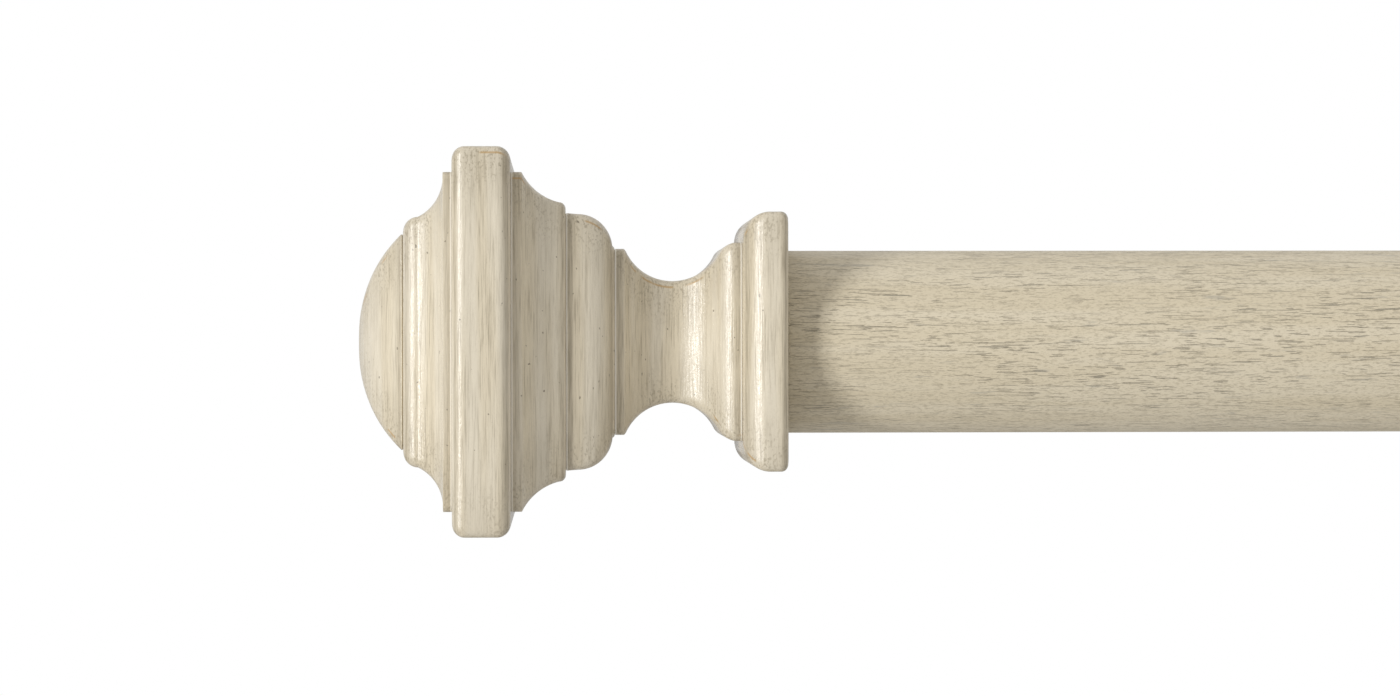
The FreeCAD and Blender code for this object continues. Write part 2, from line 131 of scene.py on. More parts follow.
# Noise by its width and length in millimetres, shift, detail and roughness. Real bristle marks
# are 0.2 to 0.5 mm wide; the fine ones stay near 0.4 mm, so that they show.
BRUSH_MARKS = {
    "fine": (0.36, 11, 0, 2, 0.65),
    "marks": (0.85, 18, 5, 2, 0.6),
    "bands": (6, 80, 9, 1, 0.55),
    "patches": (13, 20, 13, 2, 0.55),
    "dapple": (0.6, 1.0, 17, 2, 0.65),
    "specks": (0.9, 1.2, 21, 0, 0.55),
}
print(len(BRUSH_MARKS), "kinds of mark from the brush")

# %% [markdown]
# The brush turns with the face that it paints. The larger of a point's distances sideways and
# upwards says which of the four faces it is on, and the difference of the two is how far it is
# from the mitre. A cradle has no mitres, so all of it is painted like the middle of a face.

# %% Along each face
# steps in metres that give each face its own part of the noise
FACE_STEP, SIDE_STEP = 0.37, 3.1
AWAY_FROM_CORNERS = 9 * MM


def along_each_face(tree, centre, turn, taller, mitred):
    """Where a point is for the brush, and how far it is from the corner of its face."""
    place = add(tree, "TexCoord", out="Object")
    place = {"Vector": place, "Location": centre, "Rotation": (0, 0, turn)}
    place = add(tree, "Mapping", place, vector_type="TEXTURE")
    along, side, up = add(tree, "SeparateXYZ", [place], out=None)
    far_side = add(tree, "Math", [side], operation="ABSOLUTE")
    far_up = add(tree, "Math", [up], operation="ABSOLUTE")
    far_up = add(tree, "Math", [far_up, taller], operation="SUBTRACT")
    on_side = add(tree, "Math", [far_side, far_up], operation="GREATER_THAN")
    half = add(tree, "Math", [far_side, far_up], operation="MAXIMUM")
    nearer = add(tree, "Math", [far_side, far_up], operation="MINIMUM")
    from_corner = add(tree, "Math", [half, nearer], operation="SUBTRACT")
    run = add(tree, "Mix", {0: on_side, 2: side, 3: up}, data_type="FLOAT")
    across = add(tree, "Mix", {0: on_side, 2: up, 3: side}, data_type="FLOAT")
    face = add(tree, "Math", [across], operation="SIGN")
    face = add(tree, "Math", [on_side, SIDE_STEP, face], operation="MULTIPLY_ADD")
    run = add(tree, "Math", [face, FACE_STEP, run], operation="MULTIPLY_ADD")
    brush = add(tree, "CombineXYZ", [along, half, run])
    return brush, from_corner if mitred else AWAY_FROM_CORNERS


print("the unmitred pieces are painted as if", AWAY_FROM_CORNERS / MM, "mm from a mitre")

# %% The glazed paint
SMOOTH = {"interpolation_type": "SMOOTHSTEP"}


def glazed_paint(name, centre=(0, 0, 0), turn=0.0, taller=0.0, mitred=True):
    """Cream paint for a square moulding whose axis runs along X, or is turned about Z."""
    material, tree = new_material(name)
    brush, from_corner = along_each_face(tree, centre, turn, taller, mitred)
    noise = {}
    for mark, (width, length, shift, detail, roughness) in BRUSH_MARKS.items():
        scale = (1 / (width * MM), 1 / (width * MM), 1 / (length * MM))
        where = {"Vector": brush, "Scale": scale, "Location": (shift, shift, shift)}
        where = add(tree, "Mapping", where)
        pattern = {"Vector": where, "Scale": 1.0, "Detail": detail, "Roughness": roughness}
        noise[mark] = add(tree, "TexNoise", pattern)

    # what each mask reads, between which two values, and its amount at each of them
    # the outline's mark: glaze with painted shade beside each seam, and -1 for a painted highlight
    # on a lip
    pool = add(tree, "Attribute", attribute_name="glaze_shade_and_highlight", out="Fac")
    readings = {
        "warm": (noise["bands"], 0.35, 0.65, 0, 1),
        "broad": (noise["marks"], 0.50, 0.72, 0, 0.12),
        "dulled": (from_corner, 0, 22 * MM, 0.18, 0),
        "fine": (noise["fine"], 0.42, 0.70, 0, 1),
        "marks": (noise["marks"], 0.30, 0.58, 0.4, 1),
        "bands": (noise["bands"], 0.34, 0.62, 0.34, 0.62),
        "dapple": (noise["dapple"], 0.50, 0.66, 0, 0.6),
        "near end": (from_corner, 1 * MM, 17 * MM, 1, 0.10),
        "patches": (noise["patches"], 0.38, 0.58, 0.1, 1),
        "in quirk": (noise["fine"], 0.3, 0.62, 0.6, 1),
        "past corner": (from_corner, 1.2 * MM, 1.6 * MM, 0, 1),
        "before face": (from_corner, 1.8 * MM, 2.2 * MM, 1, 0),
        "rubbed": (noise["patches"], 0.59, 0.63, 0, 1),
        "specks": (noise["specks"], 0.83, 0.86, 0, 1),
        # the lip beside some seams: a painted highlight
        "lip highlight": (pool, -0.9, -0.2, 0.9, 0),
        "sheen": (noise["fine"], 0.3, 0.7, 0.21, 0.36),
    }
    mask = {}
    for use, (source, low, high, at_low, at_high) in readings.items():
        limits = {"Value": source, "From Min": low, "From Max": high}
        limits.update({"To Min": at_low, "To Max": at_high})
        mask[use] = add(tree, "MapRange", limits, **SMOOTH)
    # only the glaze and the painted shade, without the lip's painted highlight
    pool = add(tree, "Math", [pool, 0.0], operation="MAXIMUM")
    mask["gathered_glaze_and_shade"] = add(tree, "Math", [pool, mask["in quirk"]], operation="MULTIPLY")

    colour = linear(CREAM)
    for coat, amount, *uses in (
        (WARM_CREAM, 1.0, "warm"),
        (GLAZE, 1.0, "broad"),
        (GLAZE, 1.0, "dulled"),
        (GLAZE, 1.0, "fine", "marks", "bands"),
        (GLAZE, 1.0, "dapple", "near end", "patches"),
        # gathered glaze together with painted shade in the quirks between layers
        (DEEP_GLAZE_AND_SHADE, 0.75, "gathered_glaze_and_shade"),
        (OCHRE, 0.7, "past corner", "before face", "rubbed"),
        (FLECK, 0.7, "specks"),
        # a near-white painted highlight on the lip beside some seams
        (PAINTED_LIP_HIGHLIGHT, 1.0, "lip highlight"),
    ):
        for use in uses:
            amount = add(tree, "Math", [mask[use], amount], operation="MULTIPLY")
        coats = {0: amount, 6: colour, 7: linear(coat)}
        colour = add(tree, "Mix", coats, out=2, data_type="RGBA")

    # the brush and the dapple leave furrows, and the gathered glaze is a little duller
    furrows = add(tree, "Math", [noise["dapple"], -0.45], operation="MULTIPLY")
    furrows = add(tree, "Math", [noise["fine"], -0.5, furrows], operation="MULTIPLY_ADD")
    normal = {"Height": furrows, "Distance": 0.15 * MM, "Strength": 0.9}
    dull = [mask["gathered_glaze_and_shade"], 0.2, mask["sheen"]]
    finish_surface(
        tree,
        Base_Color=colour,
        Roughness=add(tree, "Math", dull, operation="MULTIPLY_ADD"),
        Normal=add(tree, "Bump", normal),
        Specular_IOR_Level=0.5,
    )
    return material


finial_paint = glazed_paint("glazed_cream_paint_on_finials")
print(finial_paint.name, "has", len(finial_paint.node_tree.nodes), "nodes")

# %% [markdown]
# ## Cream paint over open-pored wood
# The pole is turned from a coarse wood such as ash. Its paint is thinner, and the glaze is left
# in the pores, which are short dark dashes along the grain, a third of a millimetre wide and
# a few millimetres long. Solid noise stretched along the pole cuts through the surface as real
# pores do: they stay thin dashes in front and draw out at the top and bottom.

# %% The pole's grain
# Noise by its length along the pole and width round it in millimetres, detail and shift. The
# real flecks between the pores are near 0.2 mm wide; the weave is 0.4 mm, so that it shows.
BASE_CREAM = "#D3C9B3"
POLE_GRAIN = {
    "crowd": (60, 7, 2, 3),
    "pores": (6.5, 0.34, 1.5, 0),
    "long pores": (13, 0.6, 1, 11),
    "weave": (1.3, 0.4, 3, 23),
    "bands": (90, 5, 2, 31),
    "smudges": (16, 2.2, 3, 41),
}
print(len(POLE_GRAIN), "patterns run along the pole")


# %% The pole's finish
def open_pored_paint(name):
    """Cream paint with glaze in the wood's pores, for a pole that lies along X."""
    material, tree = new_material(name)
    place = add(tree, "TexCoord", out="Object")
    noise = {}
    for mark, (length, width, detail, shift) in POLE_GRAIN.items():
        scale = (1 / (length * MM), 1 / (width * MM), 1 / (width * MM))
        where = {"Vector": place, "Scale": scale, "Location": (shift, shift, shift)}
        where = add(tree, "Mapping", where)
        pattern = {"Vector": where, "Scale": 1.0, "Detail": detail, "Roughness": 0.6}
        noise[mark] = add(tree, "TexNoise", pattern)

    readings = {
        "crowd": (noise["crowd"], 0.36, 0.62, 0.25, 1),
        "pores": (noise["pores"], 0.60, 0.66, 0, 1),
        "long pores": (noise["long pores"], 0.70, 0.74, 0, 1),
        "smudges": (noise["smudges"], 0.62, 0.72, 0, 1),
        "warm": (noise["bands"], 0.36, 0.64, 0, 1),
        "weave": (noise["weave"], 0.47, 0.65, 0, 0.40),
        "sheen": (noise["weave"], 0.3, 0.7, 0.46, 0.58),
    }
    mask = {}
    for use, (source, low, high, at_low, at_high) in readings.items():
        limits = {"Value": source, "From Min": low, "From Max": high}
        limits.update({"To Min": at_low, "To Max": at_high})
        mask[use] = add(tree, "MapRange", limits, **SMOOTH)
    for use in ("pores", "long pores"):
        mask[use] = add(tree, "Math", [mask[use], mask["crowd"]], operation="MULTIPLY")

    colour = linear(BASE_CREAM)
    for coat, strength, use in (
        ("#CEC3AB", 1.0, "warm"),
        ("#968C76", 1.0, "weave"),
        ("#8A8A86", 0.35, "smudges"),
        ("#6E675B", 0.42, "pores"),
        ("#6A675F", 0.6, "long pores"),
    ):
        amount = add(tree, "Math", [mask[use], strength], operation="MULTIPLY")
        coats = {0: amount, 6: colour, 7: linear(coat)}
        colour = add(tree, "Mix", coats, out=2, data_type="RGBA")

    depth = add(tree, "Math", [mask["pores"], mask["long pores"]], operation="MAXIMUM")
    relief = add(tree, "Math", [noise["weave"], 0.4], operation="MULTIPLY")
    relief = add(tree, "Math", [relief, depth], operation="SUBTRACT")
    finish_surface(
        tree,
        Base_Color=colour,
        Roughness=mask["sheen"],
        Normal=add(tree, "Bump", {"Height": relief, "Distance": 0.18 * MM, "Strength": 0.9}),
        Specular_IOR_Level=0.32,
    )
    return material


pole_paint = open_pored_paint("glazed_cream_paint_on_open_pored_ash")
print(pole_paint.name, "has", len(pole_paint.node_tree.nodes), "nodes")

# %% [markdown]
# ## The metals and the bare wood
# The hanging plates, wood screws and hanger bolts are steel with a thin zinc plate, which is
# pale grey, slightly cloudy and faintly scratched. The inserts and thumb screws are turned
# brass with a satin lacquer. Both are the same recipe: a metal whose roughness and shade
# drift over a few millimetres, with fine lines from the tool. Real tool lines are under a
# tenth of a millimetre wide; these are near half a millimetre, so that they show. The dowel
# inside is bare beech.

# %% Metals and beech
CLOUD = 4 * MM


def worked_metal(name, pale, dark, roughness, line_width, stretch):
    """A metal with a cloudy shade and fine tool lines, whose width is in millimetres."""
    material, tree = new_material(name)
    place = add(tree, "TexCoord", out="Object")
    lines = {"Vector": place, "Scale": tuple(s / (line_width * MM) for s in stretch)}
    lines = add(tree, "Mapping", lines)
    lines = add(tree, "TexNoise", {"Vector": lines, "Scale": 1.0, "Detail": 3.0})
    cloud = add(tree, "TexNoise", {"Vector": place, "Scale": 1 / CLOUD, "Detail": 3.0})
    spread = {"Value": cloud, "From Min": 0.35, "From Max": 0.65}
    shade = add(tree, "MapRange", spread)
    colour = {0: shade, 6: linear(pale), 7: linear(dark)}
    colour = add(tree, "Mix", colour, out=2, data_type="RGBA")
    spread = {"Value": lines, "From Min": 0.3, "From Max": 0.7}
    spread.update({"To Min": roughness - 0.08, "To Max": roughness + 0.10})
    rough = add(tree, "MapRange", spread)
    normal = add(tree, "Bump", {"Height": lines, "Distance": 0.02 * MM, "Strength": 0.5})
    finish_surface(tree, Base_Color=colour, Metallic=1.0, Roughness=rough, Normal=normal)
    return material


def bare_beech(name):
    """Pale pinkish wood with short flecks, grain along X."""
    material, tree = new_material(name)
    place = add(tree, "TexCoord", out="Object")
    mapped = {"Vector": place, "Scale": (1 / (30 * MM), 1 / (1.2 * MM), 1 / (1.2 * MM))}
    grain = add(tree, "Mapping", mapped)
    grain = add(tree, "TexNoise", {"Vector": grain, "Scale": 1.0, "Detail": 4.0})
    spread = add(tree, "MapRange", {"Value": grain, "From Min": 0.3, "From Max": 0.7})
    colour = {0: spread, 6: linear("#D8B58C"), 7: linear("#B98F62")}
    colour = add(tree, "Mix", colour, out=2, data_type="RGBA")
    normal = add(tree, "Bump", {"Height": grain, "Distance": 0.05 * MM, "Strength": 0.5})
    finish_surface(tree, Base_Color=colour, Roughness=0.55, Normal=normal)
    return material


zinc = worked_metal(
    "zinc_plated_steel",
    pale="#C9CACB",
    dark="#B6B8BA",
    roughness=0.34,
    line_width=0.5,
    stretch=(1, 1, 0.1),
)
brass = worked_metal(
    "satin_lacquered_brass",
    pale="#D0B67E",
    dark="#B5955D",
    roughness=0.30,
    line_width=0.4,
    stretch=(0.3, 0.3, 1),
)
beech = bare_beech("bare_beech")
print("metals:", zinc.name, "and", brass.name, "- dowel:", beech.name)

# %% [markdown]
# ## A square moulding is a lathe with four sides
# Each layer of the finial has one outline that runs round all four faces and meets at mitred
# corners. It could be swept along a square path with a curve. Here the outline is drawn once,
# on the middle of a face, and carried round one corner of the square by extruding it again and
# again. A spin with duplicates then repeats that quarter three times. Arcs in the outline are
# themselves drawn by spinning a single point about the arc's centre. The outline's sharp turns
# are eased first, because sanding and paint soften every real edge.

# %% The outline
POINT_SPACING, ARC_SPACING = 0.45 * MM, 1 * MM
LEAST_ARC_STEPS = 4
CORNER_EASE = 0.28 * MM
SHARP_TURN = math.radians(24)


def draw_outline(bm, path, spacing=POINT_SPACING):
    """Draw (along, half width) points in millimetres. A third number is an arc's turn in
    degrees: positive bulges out of the wood, negative hollows it."""
    last = bm.verts.new((path[0][0] * MM, 0, path[0][1] * MM))
    for along, half, *turn in path[1:]:
        end = Vector((along * MM, 0, half * MM))
        chord = end - last.co
        if turn:
            angle = math.radians(turn[0])
            inwards = Vector((chord.z, 0, -chord.x)) / (2 * math.tan(angle / 2))
            centre = (last.co + end) / 2 + inwards
            length = abs(angle) * (end - centre).length
            made = bmesh.ops.spin(
                bm,
                geom=[last],
                cent=centre,
                axis=(0, 1, 0),
                angle=angle,
                steps=max(LEAST_ARC_STEPS, round(length / min(spacing, ARC_SPACING))),
                use_duplicate=False,
            )
            last = next(g for g in made["geom_last"] if isinstance(g, bmesh.types.BMVert))
            last.co = end
        else:
            steps = max(1, round(chord.length / spacing))
            for _ in range(steps):
                made = bmesh.ops.extrude_vert_indiv(bm, verts=[last])
                last = made["verts"][0]
                bmesh.ops.translate(bm, verts=[last], vec=chord / steps)


def corners_of_outline(bm):
    """The points where the outline turns sharply."""
    found = []
    for vert in bm.verts:
        if len(vert.link_edges) == 2:
            a, b = (edge.other_vert(vert).co - vert.co for edge in vert.link_edges)
            if math.pi - a.angle(b) > SHARP_TURN:
                found.append(vert)
    return found


COVED_STEP = [(0, 30), (0, 35), (3, 35), (3, 33), (10, 26, -90), (10, 22)]
trial = bmesh.new()
draw_outline(trial, COVED_STEP)
corners = len(corners_of_outline(trial))
print("a coved step's outline has", len(trial.verts), "points and", corners, "corners")
trial.free()

# %% [markdown]
# Glaze gathers beside the ends of a moulding, where the next one meets it, and painted shade is
# added there too, in the quirk that the light reaches least. Noise can't know where that is, so
# each point of the outline gets a number for the glaze and the painted shade. It is highest
# beside an end and fades to 0. On the thin lip beside some seams it is -1, which paints a
# near-white highlight there.

# %% Where the glaze and the painted shade gather, and the lips' painted highlights
# how far the glaze and the painted shade reach from a seam, the chamfer at the very end that stays
# clear of both, and the lip that gets a painted highlight
POOL_WIDTH, POOL_FADE = 2.6 * MM, 1.2
CLEAR_CHAMFER, CLEAR_BLUR = 0.45 * MM, 0.3 * MM
HIGHLIGHT_EDGE, HIGHLIGHT_DEPTH = 0.42 * MM, 0.5 * MM


def mark_glaze_shade_and_highlight(bm, length, highlight_ends, domed):
    """Mark where glaze and painted shade gather on the outline, and give its lip a painted
    highlight at the chosen ends. A dome has a seam only at its start."""
    pool = bm.verts.layers.float.new("glaze_shade_and_highlight")
    for vert in bm.verts:
        from_end = vert.co.x if domed else min(vert.co.x, length - vert.co.x)
        # the chamfer at the very end is left clear of glaze and painted shade; beside it both are
        # deepest and fade away from the seam
        left_clear = min(1.0, max(0.0, (from_end - CLEAR_CHAMFER) / CLEAR_BLUR))
        vert[pool] = left_clear * max(0.0, 1.0 - from_end / POOL_WIDTH) ** POOL_FADE
    # on the chosen ends the lip is set to -1, which paints a near-white highlight there
    for end in highlight_ends:
        lip = [vert for vert in bm.verts if abs(vert.co.x - end * length) < HIGHLIGHT_EDGE]
        rim = max(vert.co.z for vert in lip)
        for vert in lip:
            if vert.co.z > rim - HIGHLIGHT_DEPTH:
                vert[pool] = -1.0


# glaze and painted shade both reach this far from a seam
print("glaze gathers within", POOL_WIDTH / MM, "mm of a seam")

# %% [markdown]
# The spin leaves a square tube that is open at both ends. A bore for the bolt or the dowel is
# a circle at each end, bridged into a sleeve, and the flat end grain is filled between the
# square and the circle. The dome has no bore, so its back and its crown are simply filled.

# %% The bore
BORE_SEGMENTS = 32


def ends_of(bm):
    """The open edges of a tube along X, as a list for its start and one for its end."""
    open_edges = [edge for edge in bm.edges if edge.is_boundary]
    middle = sum(edge.verts[0].co.x for edge in open_edges) / len(open_edges)
    start = [edge for edge in open_edges if edge.verts[0].co.x < middle]
    return start, [edge for edge in open_edges if edge.verts[0].co.x > middle]


def add_bore(bm, bore, length):
    """Bore a moulding along its axis and close the flat ends round the bore."""
    rims = []
    for outer, x in zip(ends_of(bm), (0, length)):
        turned = Matrix.Translation((x, 0, 0)) @ Matrix.Rotation(math.pi / 2, 4, "Y")
        made = bmesh.ops.create_circle(
            bm, radius=bore * MM, segments=BORE_SEGMENTS, matrix=turned
        )
        rim = list({edge for vert in made["verts"] for edge in vert.link_edges})
        bmesh.ops.triangle_fill(bm, edges=outer + rim, use_beauty=True)
        rims += rim
    bmesh.ops.bridge_loops(bm, edges=rims)


print("a bore is a circle of", BORE_SEGMENTS, "edges")

# %% [markdown]
# The outline starts on the middle of the top face. Leaning it sideways by its own half width
# lays it in the mitre, and small equal steps take all of its points round the same rounding.
# A narrow support strip on each side keeps the shading of the rounding off the flat face.

# %% The square moulding
SUPPORT, CORNER_STEPS = 0.8 * MM, 4
THREE_QUARTERS = math.pi * 1.5


def square_moulding(path, corner=2.0, bore=None, taller=0.0, highlight_ends=()):
    """A mitred moulding along +X from the origin. The corner's rounding, the bore's radius
    and the extra half height are in millimetres. Without a bore, both ends are filled."""
    bm = bmesh.new()
    draw_outline(bm, path)
    bmesh.ops.bevel(
        bm,
        geom=corners_of_outline(bm),
        offset=CORNER_EASE,
        segments=3,
        profile=0.5,
        affect="VERTICES",
        material=-1,
        clamp_overlap=True,
    )
    length = path[-1][0] * MM
    mark_glaze_shade_and_highlight(bm, length, highlight_ends, domed=not bore)
    outline = bm.edges[:]

    def carry_on(matrix):
        """Extrude the newest copy of the outline and move it."""
        made = bmesh.ops.extrude_edge_only(bm, edges=outline)["geom"]
        moved = [g for g in made if isinstance(g, bmesh.types.BMVert)]
        bmesh.ops.transform(bm, matrix=matrix, verts=moved)
        edges = [g for g in made if isinstance(g, bmesh.types.BMEdge) and g.is_boundary]
        outline[:] = [edge for edge in edges if all(v in moved for v in edge.verts)]

    # from the face's middle to just short of its corner, each point by its own half width
    radius = corner * MM
    lean = Matrix(((1, 0, 0, 0), (0, 1, 1, -radius - SUPPORT), (0, 0, 1, 0), (0, 0, 0, 1)))
    carry_on(lean)
    carry_on(Matrix.Translation((0, SUPPORT, 0)))
    for step in range(CORNER_STEPS):
        a, b = (math.pi / 2 * (step + more) / CORNER_STEPS for more in (0, 1))
        chord = (0, radius * (math.sin(b) - math.sin(a)), radius * (math.cos(b) - math.cos(a)))
        carry_on(Matrix.Translation(chord))
    # past the rounded corner, and down to the middle of the next face
    carry_on(Matrix.Translation((0, 0, -SUPPORT)))
    carry_on(Matrix.Diagonal((1, 1, 0, 1)))
    bmesh.ops.spin(
        bm,
        geom=bm.faces[:],
        cent=(0, 0, 0),
        axis=(1, 0, 0),
        angle=THREE_QUARTERS,
        steps=3,
        use_duplicate=True,
    )
    bmesh.ops.remove_doubles(bm, verts=bm.verts[:], dist=WELD)
    if taller:
        for way in (-1, 1):
            end = [vert for vert in bm.verts if vert.co.z * way > WELD]
            bmesh.ops.translate(bm, verts=end, vec=(0, 0, way * taller * MM))
    if bore:
        add_bore(bm, bore, length)
    else:
        bmesh.ops.holes_fill(bm, edges=[e for e in bm.edges if e.is_boundary], sides=0)
    bmesh.ops.recalc_face_normals(bm, faces=bm.faces[:])
    return bm


trial = square_moulding(COVED_STEP, bore=4)
open_edges = sum(edge.is_boundary for edge in trial.edges)
print("a coved step has", len(trial.faces), "faces and", open_edges, "open edges")
trial.free()

# %% [markdown]
# A finished bmesh becomes a piece with smooth shading, except where its faces meet at more
# than the crease angle. The piece rides on its body and stands for its solid.

# %% A piece that rides on its body
CREASE = 30


def as_piece(bm, name, body, replaced, material, crease=CREASE):
    """Turn a bmesh into a piece of the object that rides on its body."""
    mesh = bpy.data.meshes.new(name)
    bm.to_mesh(mesh)
    bm.free()
    mesh.shade_smooth()
    mesh.set_sharp_from_angle(angle=math.radians(crease))
    piece = bpy.data.objects.new(name, mesh)
    bpy.context.scene.collection.objects.link(piece)
    mesh.materials.append(material)
    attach(piece, body)
    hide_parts(*replaced)
    return piece


print("edges turn sharp above", CREASE, "degrees")

# %% [markdown]
# ## The finial's seven layers
# From the pole outwards: a base flange with a quarter-round, a neck hollowed by a deep scotia,
# a thumb moulding, a rear cove, the wide centre band, a front cove with a small nose, and a
# shallow dome. The dome's outline stops just short of the axis, where a small flat crown closes
# its four faces into a pillow. Each outline starts at the side nearest the pole, and the frame
# gives each layer its place.

# %% The outlines
NECK_START, NECK_END, NECK_SHOULDER, NECK_WAIST = 5.9, 31.7, 24.8, 16.75
scotia = 4 * math.degrees(
    math.atan(2 * (NECK_SHOULDER - NECK_WAIST) / (NECK_END - NECK_START))
)
DOME_HALF, DOME_RISE, CROWN = 29.4, 13.4, 2.9
dome_radius = (DOME_HALF**2 + DOME_RISE**2) / (2 * DOME_RISE)
dome_top = DOME_RISE - dome_radius + math.sqrt(dome_radius**2 - CROWN**2)
crown_turn = math.degrees(math.asin(DOME_HALF / dome_radius) - math.asin(CROWN / dome_radius))

FINIAL_LAYERS = {
    "base_flange": [
        (0, 31.0), (0, 33.25), (2.0, 35.25, 90), (4.9, 35.25), (12.2, 27.95, 90), (12.2, 26.0),
    ],
    "neck": [
        (0, 25.5), (0, 26.9), (0.2, 27.1), (2.0, 27.1), (NECK_START, NECK_SHOULDER, 42),
        (NECK_END, NECK_SHOULDER, -scotia), (32.2, 25.4), (34.6, 25.4), (34.8, 25.2), (34.8, 23.5),
    ],
    "thumb_moulding": [
        (0, 24.0), (0, 25.65), (0.6, 26.25), (10.1, 34.6, 84), (13.1, 34.85), (13.3, 34.65),
        (13.3, 32.0),
    ],
    "rear_cove": [
        (0, 33.0), (0, 35.9), (1.8, 37.7, 90), (11.8, 45.5, -50), (14.5, 45.5), (14.7, 45.3),
        (14.7, 42.0),
    ],
    "centre_band": [
        (0, 43.0), (0, 48.4), (3.7, 52.1, 90), (12.2, 52.1), (15.7, 48.6, 90), (15.7, 43.0),
    ],
    "front_cove": [
        (0, 42.0), (0, 45.3), (0.2, 45.5), (2.5, 45.5), (9.6, 33.9, -68), (13.7, 29.8, 86),
        (13.7, 27.0),
    ],
    "dome_cap": [(0, 26.0), (0, 29.0), (0.4, DOME_HALF), (dome_top, CROWN, crown_turn)],
}
print(len(FINIAL_LAYERS), "layers; the scotia turns", round(scotia), "degrees")

# %% Both finials
# the dowel runs through most layers, the bolt through the flange, and the dome is solid
DOWEL_BORE = 8.1
BORES = {"base_flange": 4.05, "dome_cap": None}
# the ends whose lip gets a painted highlight
HIGHLIGHT_ENDS = {"neck": (0, 1), "thumb_moulding": (1,), "rear_cove": (1,), "front_cove": (0,)}


def stand(bm, x, y, z, direction):
    """Carry a piece drawn along +X from the origin to its start point and direction."""
    turn = Vector((1, 0, 0)).rotation_difference(Vector(direction)).to_matrix().to_4x4()
    if direction[0] == -1:
        turn = Matrix.Rotation(math.pi, 4, "Z")
    bmesh.ops.transform(bm, matrix=Matrix.Translation((x, y, z)) @ turn, verts=bm.verts[:])
    return bm


for side, sign in SIDES.items():
    for layer, path in FINIAL_LAYERS.items():
        node = f"{layer}_{side}"
        low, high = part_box(node)
        inner = high.x if sign < 0 else low.x
        bore = BORES.get(layer, DOWEL_BORE)
        moulding = square_moulding(path, bore=bore, highlight_ends=HIGHLIGHT_ENDS.get(layer, ()))
        stand(moulding, inner, 0, 0, (sign, 0, 0))
        piece = as_piece(
            moulding, f"turned_{node}", f"finial_{side}", [node], finial_paint
        )
        size = [round(s / MM, 1) for s in piece.dimensions]
        print(piece.name, len(piece.data.polygons), "faces", size, "mm")

# %% [markdown]
# ## The pole
# A plain turned cylinder with its sawn ends eased. Its own solid has the right shape, but it
# is smoother to draw its outline once and spin it in many steps. The blind hole for the brass
# insert is part of the same outline, so the end grain and the bore are one skin.

# %% A round piece
ONE_STEP = 1.0


def round_piece(path, steps):
    """Spin an outline about the X axis. Points that lie on the axis close it."""
    bm = bmesh.new()
    draw_outline(bm, path, spacing=ONE_STEP)
    bmesh.ops.spin(
        bm,
        geom=bm.verts[:] + bm.edges[:],
        cent=(0, 0, 0),
        axis=(1, 0, 0),
        angle=math.tau,
        steps=steps,
        use_merge=True,
        use_duplicate=False,
    )
    bmesh.ops.remove_doubles(bm, verts=bm.verts[:], dist=WELD)
    bmesh.ops.recalc_face_normals(bm, faces=bm.faces[:])
    return bm


print("a straight run shorter than", ONE_STEP, "m is drawn in one step")

# %% Spin the pole
END, RADIUS, POLE_STEPS = 609.6, 25.4, 128
BORE, BORE_END, FLANGE_BORE, FLANGE_DEPTH = 6.15, 589.4, 8.15, 1.7
half_pole = [
    (BORE_END, 0.0), (BORE_END, BORE), (END - FLANGE_DEPTH, BORE),
    (END - FLANGE_DEPTH, FLANGE_BORE), (END, FLANGE_BORE),
    (END, RADIUS - 0.8), (END - 0.25, RADIUS - 0.25), (END - 0.8, RADIUS),
]
pole_outline = [(-x, r) for x, r in half_pole] + half_pole[::-1]
pole = as_piece(
    round_piece(pole_outline, POLE_STEPS),
    "turned_pole",
    "pole",
    ["rod"],
    pole_paint,
)
print("the pole is", [round(s / MM, 1) for s in pole.dimensions], "mm")

# %% [markdown]
# ## The brackets' arms and boards
# Each bracket repeats the finial's language: a board with a quarter-round edge on the wall, a
# smaller board coved down from it, and a square arm with the finial's hollow. The arm and the
# smaller board are the same kind of square moulding, pointing away from the wall. The board
# is only stretched upwards and downwards once it is whole, so that its corners keep their
# shape. The wall board keeps its solid's shape and comes later.

# %% The arm's and the board's outlines
ARM_DROP, WALL, BOARD_TALLER = 7.0, 88.9, 16.0
ARM_START, ARM_END, ARM_SHOULDER, ARM_WAIST = 5.0, 26.9, 14.8, 10.5
arm_hollow = 4 * math.degrees(
    math.atan(2 * (ARM_SHOULDER - ARM_WAIST) / (ARM_END - ARM_START))
)
# each layer's distance from the pole's axis, its extra half height, and its outline
BRACKET_LAYERS = {
    "arm": (
        WALL - 18.0,
        0.0,
        [
            (0, 15.0), (0, 16.7), (0.3, 17.0), (2.4, 17.0), (ARM_START, ARM_SHOULDER, 60),
            (ARM_END, ARM_SHOULDER, -arm_hollow), (27.3, 15.4), (29.4, 15.4), (29.7, 15.1),
            (29.7, 13.0),
        ],
    ),
    "stepped_block": (
        WALL - 12.0,
        BOARD_TALLER,
        [(0, 20.0), (0, 22.7), (0.3, 23.0), (2.0, 23.0), (6.0, 19.0, -80), (6.0, 12.0)],
    ),
}
print("the arm's hollow turns", round(arm_hollow), "degrees")

